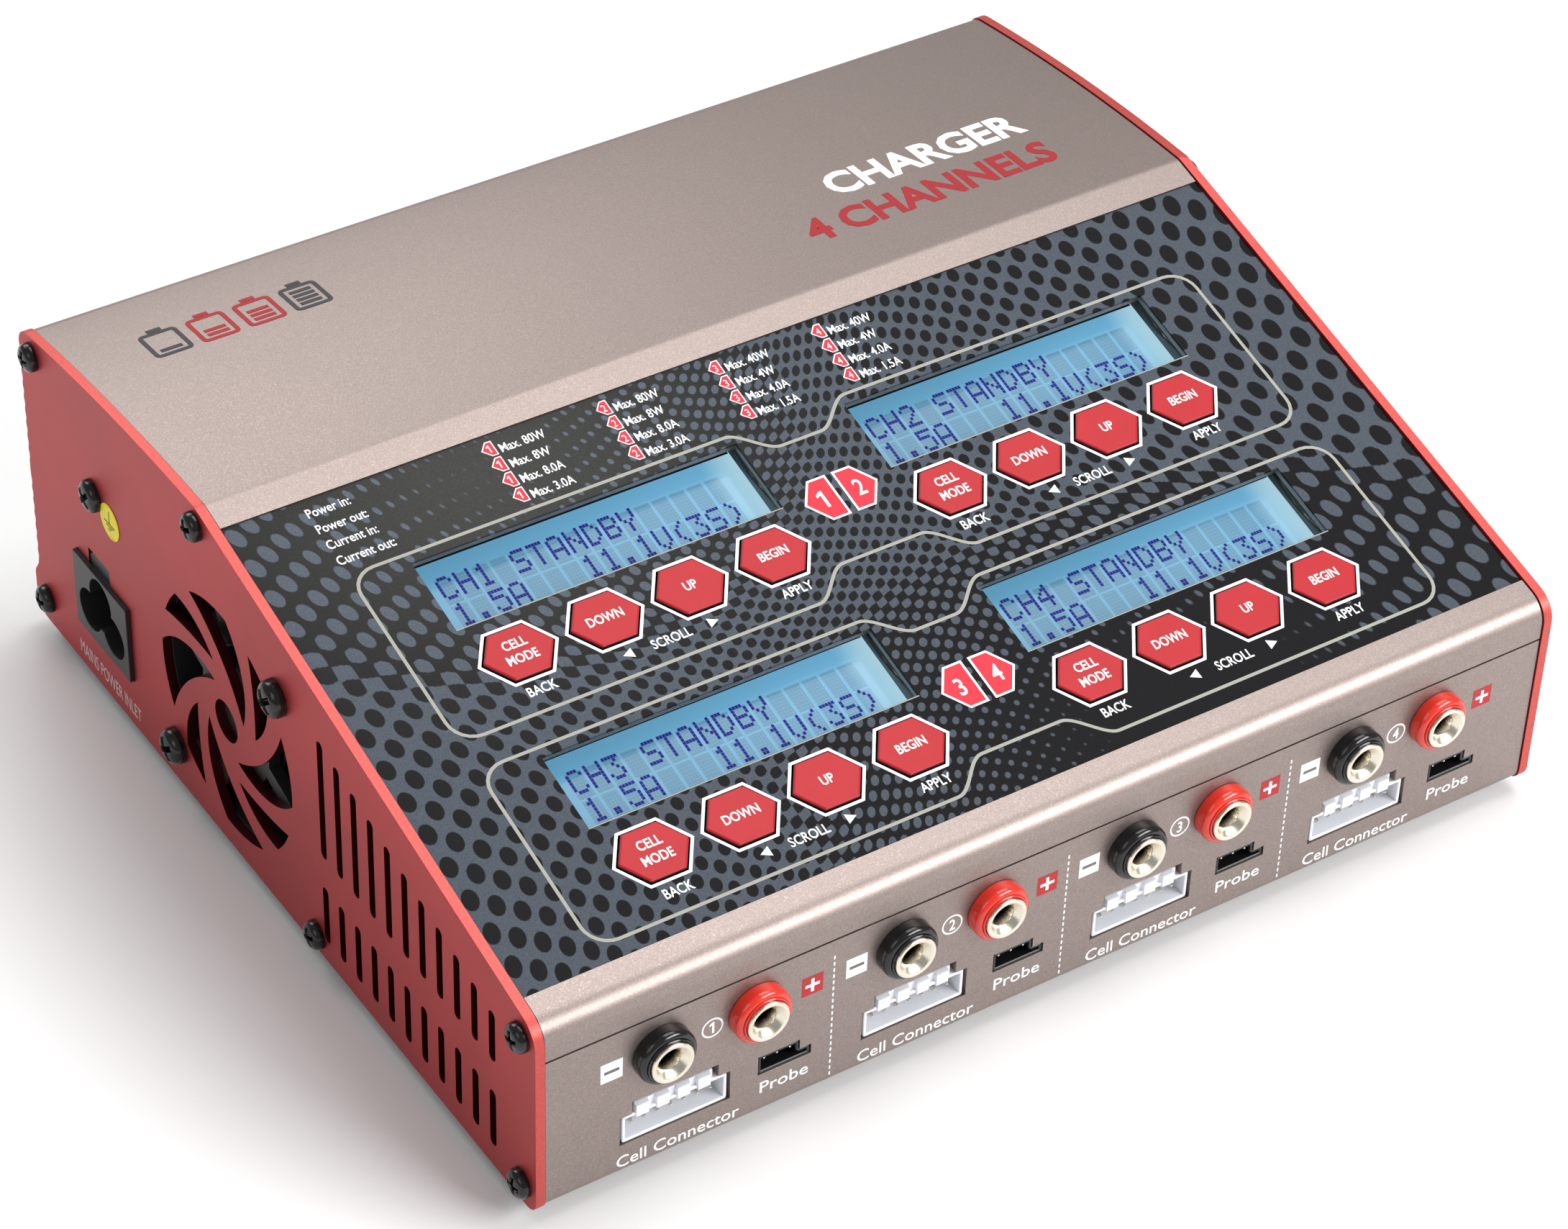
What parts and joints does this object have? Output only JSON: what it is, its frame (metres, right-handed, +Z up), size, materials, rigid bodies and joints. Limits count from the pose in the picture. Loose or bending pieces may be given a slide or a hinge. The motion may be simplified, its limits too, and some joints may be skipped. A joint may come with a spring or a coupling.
{
  "type": "balance battery charger",
  "caption": "Bench balance charger for model batteries: sloping keypad with displays, banana jacks, balance sockets, mains inlet and cooling fan between two end plates.",
  "frame": {"origin": "on the table, under the middle of the footprint, level with the underside of the feet", "axes": "+Z up; the socket panel faces -Y; +X runs to the right end plate as seen from the front"},
  "size_m": [0.2117, 0.1839, 0.073],
  "materials": {
    "shell_metal": "champagne grey anodised, fine blasted sparkle",
    "plate_metal": "red anodised, satin",
    "overlay_film": "textured film, dark with a grey-blue dot pattern",
    "key_plastic": "red, satin",
    "lcd_bezel": "black",
    "lcd_glass": "clear over a sky-blue backlight",
    "circuit_board": "green solder mask",
    "black_moulding": "black",
    "jack_black": "glossy black",
    "jack_red": "glossy red",
    "jack_metal": "turned, nickel plated",
    "header_nylon": "natural white nylon",
    "contact_metal": "tinned",
    "inlet_plastic": "dark grey moulding",
    "dc_plastic": "yellow moulding",
    "fan_plastic": "black",
    "black_screw": "glossy black",
    "badge_film": "yellow film",
    "foot_rubber": "black",
    "standoff_brass": "turned",
    "ferrite": "dark grey core",
    "capacitor_sleeve": "dark blue sleeve",
    "sink_metal": "plain"
  },
  "bodies": {
    "case": {"upper_shell": "shell_metal", "lower_shell": "shell_metal", "left_plate": "plate_metal", "right_plate": "plate_metal", "keypad_overlay": "overlay_film", "lcd_frame_1": "lcd_bezel", "lcd_frame_2": "lcd_bezel", "lcd_frame_3": "lcd_bezel", "lcd_frame_4": "lcd_bezel", "lcd_glass_1": "lcd_glass", "lcd_glass_2": "lcd_glass", "lcd_glass_3": "lcd_glass", "lcd_glass_4": "lcd_glass", "control_board": "circuit_board", "key_switches": "black_moulding", "black_jack_1": "jack_black", "black_jack_2": "jack_black", "black_jack_3": "jack_black", "black_jack_4": "jack_black", "red_jack_1": "jack_red", "red_jack_2": "jack_red", "red_jack_3": "jack_red", "red_jack_4": "jack_red", "jack_sleeves": "jack_metal", "balance_socket_1": "header_nylon", "balance_socket_2": "header_nylon", "balance_socket_3": "header_nylon", "balance_socket_4": "header_nylon", "sensor_sockets": "black_moulding", "contact_pins": "contact_metal", "mains_inlet": "inlet_plastic", "dc_inlet": "dc_plastic", "fan_frame": "fan_plastic", "fan_screws": "black_screw", "plate_screws": "black_screw", "earth_badge": "badge_film", "rubber_feet": "foot_rubber", "main_board": "circuit_board", "standoffs": "standoff_brass", "transformer": "ferrite", "capacitors": "capacitor_sleeve", "heat_sink": "sink_metal", "channel_chokes": "ferrite"},
    "stop_key_1": {"stop_key_1": "key_plastic"},
    "stop_key_2": {"stop_key_2": "key_plastic"},
    "stop_key_3": {"stop_key_3": "key_plastic"},
    "stop_key_4": {"stop_key_4": "key_plastic"},
    "minus_key_1": {"minus_key_1": "key_plastic"},
    "minus_key_2": {"minus_key_2": "key_plastic"},
    "minus_key_3": {"minus_key_3": "key_plastic"},
    "minus_key_4": {"minus_key_4": "key_plastic"},
    "plus_key_1": {"plus_key_1": "key_plastic"},
    "plus_key_2": {"plus_key_2": "key_plastic"},
    "plus_key_3": {"plus_key_3": "key_plastic"},
    "plus_key_4": {"plus_key_4": "key_plastic"},
    "start_key_1": {"start_key_1": "key_plastic"},
    "start_key_2": {"start_key_2": "key_plastic"},
    "start_key_3": {"start_key_3": "key_plastic"},
    "start_key_4": {"start_key_4": "key_plastic"},
    "fan_rotor": {"fan_rotor": "fan_plastic"}
  },
  "joints": [
    {"name": "stop_key_1_press", "type": "slide", "parent": "case", "child": "stop_key_1", "axis": [0, 0.2566, -0.9665], "range_m": [0, 0.0004], "stiffness_N_per_m": 1500},
    {"name": "stop_key_2_press", "type": "slide", "parent": "case", "child": "stop_key_2", "axis": [0, 0.2566, -0.9665], "range_m": [0, 0.0004], "stiffness_N_per_m": 1500},
    {"name": "stop_key_3_press", "type": "slide", "parent": "case", "child": "stop_key_3", "axis": [0, 0.2566, -0.9665], "range_m": [0, 0.0004], "stiffness_N_per_m": 1500},
    {"name": "stop_key_4_press", "type": "slide", "parent": "case", "child": "stop_key_4", "axis": [0, 0.2566, -0.9665], "range_m": [0, 0.0004], "stiffness_N_per_m": 1500},
    {"name": "minus_key_1_press", "type": "slide", "parent": "case", "child": "minus_key_1", "axis": [0, 0.2566, -0.9665], "range_m": [0, 0.0004], "stiffness_N_per_m": 1500},
    {"name": "minus_key_2_press", "type": "slide", "parent": "case", "child": "minus_key_2", "axis": [0, 0.2566, -0.9665], "range_m": [0, 0.0004], "stiffness_N_per_m": 1500},
    {"name": "minus_key_3_press", "type": "slide", "parent": "case", "child": "minus_key_3", "axis": [0, 0.2566, -0.9665], "range_m": [0, 0.0004], "stiffness_N_per_m": 1500},
    {"name": "minus_key_4_press", "type": "slide", "parent": "case", "child": "minus_key_4", "axis": [0, 0.2566, -0.9665], "range_m": [0, 0.0004], "stiffness_N_per_m": 1500},
    {"name": "plus_key_1_press", "type": "slide", "parent": "case", "child": "plus_key_1", "axis": [0, 0.2566, -0.9665], "range_m": [0, 0.0004], "stiffness_N_per_m": 1500},
    {"name": "plus_key_2_press", "type": "slide", "parent": "case", "child": "plus_key_2", "axis": [0, 0.2566, -0.9665], "range_m": [0, 0.0004], "stiffness_N_per_m": 1500},
    {"name": "plus_key_3_press", "type": "slide", "parent": "case", "child": "plus_key_3", "axis": [0, 0.2566, -0.9665], "range_m": [0, 0.0004], "stiffness_N_per_m": 1500},
    {"name": "plus_key_4_press", "type": "slide", "parent": "case", "child": "plus_key_4", "axis": [0, 0.2566, -0.9665], "range_m": [0, 0.0004], "stiffness_N_per_m": 1500},
    {"name": "start_key_1_press", "type": "slide", "parent": "case", "child": "start_key_1", "axis": [0, 0.2566, -0.9665], "range_m": [0, 0.0004], "stiffness_N_per_m": 1500},
    {"name": "start_key_2_press", "type": "slide", "parent": "case", "child": "start_key_2", "axis": [0, 0.2566, -0.9665], "range_m": [0, 0.0004], "stiffness_N_per_m": 1500},
    {"name": "start_key_3_press", "type": "slide", "parent": "case", "child": "start_key_3", "axis": [0, 0.2566, -0.9665], "range_m": [0, 0.0004], "stiffness_N_per_m": 1500},
    {"name": "start_key_4_press", "type": "slide", "parent": "case", "child": "start_key_4", "axis": [0, 0.2566, -0.9665], "range_m": [0, 0.0004], "stiffness_N_per_m": 1500},
    {"name": "fan_spin", "type": "hinge", "parent": "case", "child": "fan_rotor", "pos_m": [-0.094, 0.01512, 0.0316], "axis": [1, 0, 0], "continuous": true}
  ]
}
